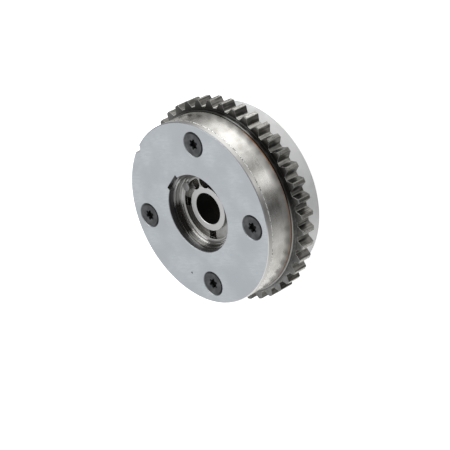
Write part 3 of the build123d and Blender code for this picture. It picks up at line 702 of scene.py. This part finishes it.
class PHASER_OT_rotor(bpy.types.Operator):
    """Gives the rotor its turned walls, its bright bolt seat, painted shade in its groove, bolt hole and
    recess, and painted reflections on its recess wall
    """

    bl_idname = "phaser.rotor"
    bl_label = "Finish the rotor"

    def execute(self, context):
        look = settings().rotor
        finish = Finish("rotor_steel")
        marks = finish.turning_marks(0.45 * MM)
        fine_marks = finish.turning_marks(0.16 * MM)
        along = (finish.radius + finish.z) / (0.5 * MM)
        lines = finish.noise(finish.vector(along, finish.angle * 0.9, 0.0), 1.0, 1.0)
        cloud = finish.noise(finish.place, 140.0, 3.0, 0.6)

        # Height over the seat of the bolt's head
        height = finish.z - BOSS_LEVEL
        recess_wall = finish.step(height, 0.1 * MM, 0.4 * MM)
        # Painted shade: the bolt hole and the camshaft socket are painted black
        socket = finish.fade(finish.radius, SOCKET_RADIUS + 0.2 * MM, SOCKET_RADIUS + 0.6 * MM)
        socket = socket * finish.fade(height, -6.5 * MM, -6.4 * MM)
        bolt_hole = finish.fade(finish.radius, BOLT_HOLE_RADIUS + 0.15 * MM, BOLT_HOLE_RADIUS + 0.3 * MM)
        bore = finish.larger(socket, bolt_hole) * finish.step(finish.z, 7.0 * MM, 12.0 * MM)
        bolt_ring = finish.band(finish.radius, BOLT_HOLE_RADIUS - 0.1 * MM, BOLT_SEAT_RADIUS, 0.15 * MM)
        seat = finish.step(height, -0.7 * MM, -0.1 * MM) * bolt_ring
        inside = finish.fade(finish.radius, JOURNAL_RADIUS - 0.5 * MM, JOURNAL_RADIUS + 0.5 * MM)
        rear = finish.fade(finish.z, 1.0 * MM, 2.0 * MM)
        groove = finish.fade(height, -0.6 * MM, -0.15 * MM) * inside * (1.0 - rear)
        # Painted shade in the groove, left out where the floor is painted lighter
        groove_shade = groove * (1.0 - finish.patches(LIT_FLOOR)) * 0.8
        # Painted shade and reflections: the recess wall is dark except in streaks and stretches painted in
        # the boss colour
        wall_shade = finish.fade(finish.patches(LIT_WALL) + (lines - 0.5) * 3.0, 0.25, 0.85)

        metal = finish.blend(finish.step(cloud, 0.35, 0.65), shade(look.metal, 0.82), look.metal)
        metal = finish.blend(groove_shade, metal, look.oil_and_shade)
        metal = finish.blend(seat, metal, look.boss)
        metal = finish.blend(recess_wall, metal, finish.blend(wall_shade, look.boss, look.oil_and_shade))
        metal = finish.blend(bore, metal, look.shade)
        roughness = look.roughness + (marks - 0.5) * 0.14 + seat * 0.12 + rear * 0.1
        roughness = roughness + bore * 0.4 + recess_wall * (1.0 - wall_shade) * 0.25
        relief = marks + fine_marks * recess_wall
        dress(["rotor"], finish.surface(metal, roughness, 1.0, relief, 0.02 * MM, 0.18 * MM))
        return {"FINISHED"}


class PHASER_OT_screws(bpy.types.Operator):
    """Gives the cover screws their black phosphate, with a painted shadow on one side of each head's rim
    and painted shade deep in its star
    """

    bl_idname = "phaser.screws"
    bl_label = "Finish the screws"

    def execute(self, context):
        look = settings().small
        for name in SCREWS:
            middle = middle_of(name)
            finish = Finish("phosphate_black", (middle.x, middle.y))
            grain = finish.noise(finish.place, 2600.0, 3.0, 0.65)
            cloud = finish.noise(finish.place, 320.0, 2.0, 0.5)
            # Painted shadow on one side of the head's rim
            rim = finish.step(finish.radius, SCREW_RIM_RADIUS - 0.3 * MM, SCREW_RIM_RADIUS)
            rim = rim * finish.patches(SCREW_RIM_SHADOW)
            # Painted shade: the star is painted near black deep down
            star = finish.fade(finish.radius, SCREW_STAR_RADIUS - 0.2 * MM, SCREW_STAR_RADIUS)
            star = star * finish.fade(finish.z, FRONT_LEVEL - 1.6 * MM, FRONT_LEVEL - 0.7 * MM)

            color = finish.blend(finish.step(cloud, 0.35, 0.75), look.screw, shade(look.screw, 1.9))
            color = finish.blend(rim, color, shade(look.screw, 0.12))
            color = finish.blend(star, color, look.screw_star)
            roughness = look.screw_roughness + (grain - 0.5) * 0.3
            dress([name], finish.surface(color, roughness, 0.55, grain, 0.02 * MM, 0.15 * MM))
        return {"FINISHED"}


class PHASER_OT_hard_pieces(bpy.types.Operator):
    """Gives the pins, the dowels and the bush ground hard steel"""

    bl_idname = "phaser.hard_pieces"
    bl_label = "Finish pins, dowels and bush"

    def execute(self, context):
        look = settings().small
        finish = Finish("hard_steel")
        grain = finish.noise(finish.place, 2200.0, 3.0, 0.6)
        cloud = finish.noise(finish.place, 400.0, 2.0, 0.5)
        duller = shade(look.hard_steel, 0.7)
        color = finish.blend(finish.step(cloud, 0.35, 0.65), duller, look.hard_steel)
        roughness = look.hard_roughness + (grain - 0.5) * 0.2
        dress(HARD_PIECES, finish.surface(color, roughness, 1.0, grain, 0.008 * MM))
        return {"FINISHED"}


def following_spring(name):
    """A copy of a coil spring with its doubled points merged, put in place of the CAD node, which is
    hidden.
    """
    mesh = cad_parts[name].data.copy()
    mesh.name = name + "_turns"
    shape = bmesh.new()
    shape.from_mesh(mesh)
    bmesh.ops.remove_doubles(shape, verts=shape.verts, dist=0.001 * MM)
    shape.to_mesh(mesh)
    shape.free()
    piece = bpy.data.objects.new(mesh.name, mesh)
    bpy.context.scene.collection.objects.link(piece)
    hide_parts(name)
    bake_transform(piece)


class PHASER_OT_springs(bpy.types.Operator):
    """Gives the springs oiled spring steel, and puts merged copies in place of the two coil springs"""

    bl_idname = "phaser.springs"
    bl_label = "Finish the springs"

    def execute(self, context):
        look = settings().small
        finish = Finish("oiled_spring_steel")
        grain = finish.noise(finish.place, 1500.0, 3.0, 0.6)
        cloud = finish.noise(finish.place, 300.0, 2.0, 0.5)
        red, green, blue = look.spring_steel
        bluish = (red * 0.7, green * 0.75, blue * 0.95)
        color = finish.blend(finish.step(cloud, 0.35, 0.65), bluish, look.spring_steel)
        roughness = look.spring_roughness + (grain - 0.5) * 0.2
        names = LEAF_SPRINGS + ["return_spring", "lock_pin_spring"]
        dress(names, finish.surface(color, roughness, 1.0, grain, 0.006 * MM, 0.05 * MM))
        following_spring("return_spring")
        following_spring("lock_pin_spring")
        return {"FINISHED"}


class PHASER_OT_seals(bpy.types.Operator):
    """Gives the tip seals dark moulded plastic"""

    bl_idname = "phaser.seals"
    bl_label = "Finish the seals"

    def execute(self, context):
        look = settings().small
        finish = Finish("moulded_seal")
        grain = finish.noise(finish.place, 1800.0, 3.0, 0.6)
        color = finish.blend(finish.step(grain, 0.4, 0.7), look.seal, shade(look.seal, 1.5))
        roughness = look.seal_roughness + (grain - 0.5) * 0.2
        dress(SEALS, finish.surface(color, roughness, 0.0, grain, 0.01 * MM))
        return {"FINISHED"}


def burr_finish(name, color, roughness):
    """Torn bright metal."""
    finish = Finish(name)
    grain = finish.noise(finish.place, 1100.0, 3.0, 0.7)
    metal = finish.blend(finish.step(grain, 0.38, 0.5), shade(color, 0.12), color)
    return finish.surface(metal, roughness + (grain - 0.5) * 0.2, 1.0, grain, 0.02 * MM)


def uneven_ring_tree(material, size_names):
    """A node tree that sets an uneven ring of wire on each point that it is given."""
    tree = bpy.data.node_groups.new("uneven_ring", "GeometryNodeTree")
    face = tree.interface
    face.new_socket("Points", in_out="INPUT", socket_type="NodeSocketGeometry")
    for name in size_names:
        face.new_socket(name, in_out="INPUT", socket_type="NodeSocketFloat")
    face.new_socket("Rings", in_out="OUTPUT", socket_type="NodeSocketGeometry")
    graph = Graph(tree)
    given = graph.node("NodeGroupInput")
    points, ring, wire, uneven, seed = (Value(graph, s) for s in list(given.outputs)[:5])

    round_line = "GeometryNodeCurvePrimitiveCircle"
    circle = graph.add(round_line, {"mode": "RADIUS"}, {"Resolution": 180, "Radius": ring})
    profile = graph.add(round_line, {"mode": "RADIUS"}, {"Resolution": 10, "Radius": wire})
    bead = graph.add("GeometryNodeCurveToMesh", {}, {"Curve": circle, "Profile Curve": profile})
    copies = graph.add("GeometryNodeInstanceOnPoints", {}, {"Points": points, "Instance": bead})
    solid = graph.add("GeometryNodeRealizeInstances", {}, [copies])

    place = graph.add("GeometryNodeInputPosition")
    inputs = {"Vector": place, "W": seed, "Scale": 900.0, "Detail": 2.0, "Roughness": 0.6}
    shake = graph.add("ShaderNodeTexNoise", {"noise_dimensions": "4D"}, inputs, "Color")
    centred = graph.add("ShaderNodeVectorMath", {"operation": "SUBTRACT"}, [shake, (0.5, 0.5, 0.5)])
    inputs = {"Vector": centred, "Scale": uneven}
    moved = graph.add("ShaderNodeVectorMath", {"operation": "SCALE"}, inputs)
    rough = graph.add("GeometryNodeSetPosition", {}, {"Geometry": solid, "Offset": moved})
    smooth = graph.add("GeometryNodeSetShadeSmooth", {}, {"Geometry": rough})
    coated = graph.add("GeometryNodeSetMaterial", {}, {"Geometry": smooth, "Material": material})
    graph.node("NodeGroupOutput", {}, [coated])
    return tree


def uneven_rings(name, points, material, ring, wire, unevenness, seed):
    """One mesh of uneven rings round the given points, which rides on the housing."""
    mesh = bpy.data.meshes.new(name + "_points")
    mesh.from_pydata(points, [], [])
    source = bpy.data.objects.new(name + "_points", mesh)
    bpy.context.scene.collection.objects.link(source)
    sizes = {"Ring radius": ring, "Wire radius": wire, "Unevenness": unevenness, "Seed": seed}
    modifier = source.modifiers.new("rings", "NODES")
    modifier.node_group = uneven_ring_tree(material, sizes)
    for socket in modifier.node_group.interface.items_tree:
        if socket.name in sizes:
            modifier[socket.identifier] = sizes[socket.name]
    graph = bpy.context.evaluated_depsgraph_get()
    result = bpy.data.meshes.new_from_object(source.evaluated_get(graph))
    bpy.data.objects.remove(source)
    result.name = name
    piece = bpy.data.objects.new(name, result)
    bpy.context.scene.collection.objects.link(piece)
    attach(piece, "housing")
    return piece


class PHASER_OT_screw_burrs(bpy.types.Operator):
    """Makes the thin bright burr round each countersink"""

    bl_idname = "phaser.screw_burrs"
    bl_label = "Make the screw burrs"

    def execute(self, context):
        look = settings().cover
        level = FRONT_LEVEL - look.burr_radius * 1.3
        points = [(*middle_of(name).xy, level) for name in SCREWS]
        material = burr_finish("burr_steel", look.metal, 0.3)
        sizes = (look.burr_ring, look.burr_radius, look.burr_unevenness)
        piece = uneven_rings("screw_burrs", points, material, *sizes, seed=3.0)
        return {"FINISHED"}


class PHASER_OT_seam_bead(bpy.types.Operator):
    """Makes the uneven bead in the seam between the cover and the drum"""

    bl_idname = "phaser.seam_bead"
    bl_label = "Make the seam bead"

    def execute(self, context):
        look = settings().cover
        material = burr_finish("seam_steel", look.bright_metal_and_highlight, 0.22)
        sizes = (DRUM_RADIUS - look.bead_radius * 0.7, look.bead_radius, look.bead_unevenness)
        piece = uneven_rings("seam_bead", [(0.0, 0.0, SEAM_LEVEL)], material, *sizes, seed=11.0)
        return {"FINISHED"}


class PHASER_PT_panel(bpy.types.Panel):
    """Lists the steps in the order in which they are run"""

    bl_idname = "PHASER_PT_panel"
    bl_label = "Cam phaser"
    bl_space_type = "VIEW_3D"
    bl_region_type = "UI"
    bl_category = "Cam phaser"

    def draw(self, context):
        for step in STEPS:
            self.layout.operator(step.bl_idname)
        for group in ("cover", "drum", "sprocket", "rotor", "small", "studio"):
            box = self.layout.box()
            values = getattr(settings(), group)
            for name in values.bl_rna.properties.keys():
                if name not in ("rna_type", "name"):
                    box.prop(values, name)


STEPS = (
    PHASER_OT_stage,
    PHASER_OT_front_cover,
    PHASER_OT_drum,
    PHASER_OT_rear_cover,
    PHASER_OT_sprocket,
    PHASER_OT_rotor,
    PHASER_OT_screws,
    PHASER_OT_hard_pieces,
    PHASER_OT_springs,
    PHASER_OT_seals,
    PHASER_OT_screw_burrs,
    PHASER_OT_seam_bead,
)
CLASSES = (
    CoverFinish,
    DrumFinish,
    SprocketFinish,
    RotorFinish,
    SmallPieceFinish,
    Studio,
    PhaserSettings,
    *STEPS,
    PHASER_PT_panel,
)


def register():
    for item in CLASSES:
        bpy.utils.register_class(item)
    bpy.types.Scene.cam_phaser = group_property(PhaserSettings, "Cam phaser", "Finishes of the cam phaser")


def unregister():
    del bpy.types.Scene.cam_phaser
    for item in reversed(CLASSES):
        bpy.utils.unregister_class(item)


def main():
    bpy.context.view_layer.update()
    register()
    for step in STEPS:
        family, name = step.bl_idname.split(".")
        getattr(getattr(bpy.ops, family), name)()
    bpy.context.view_layer.update()


if __name__ == "__main__":
    main()
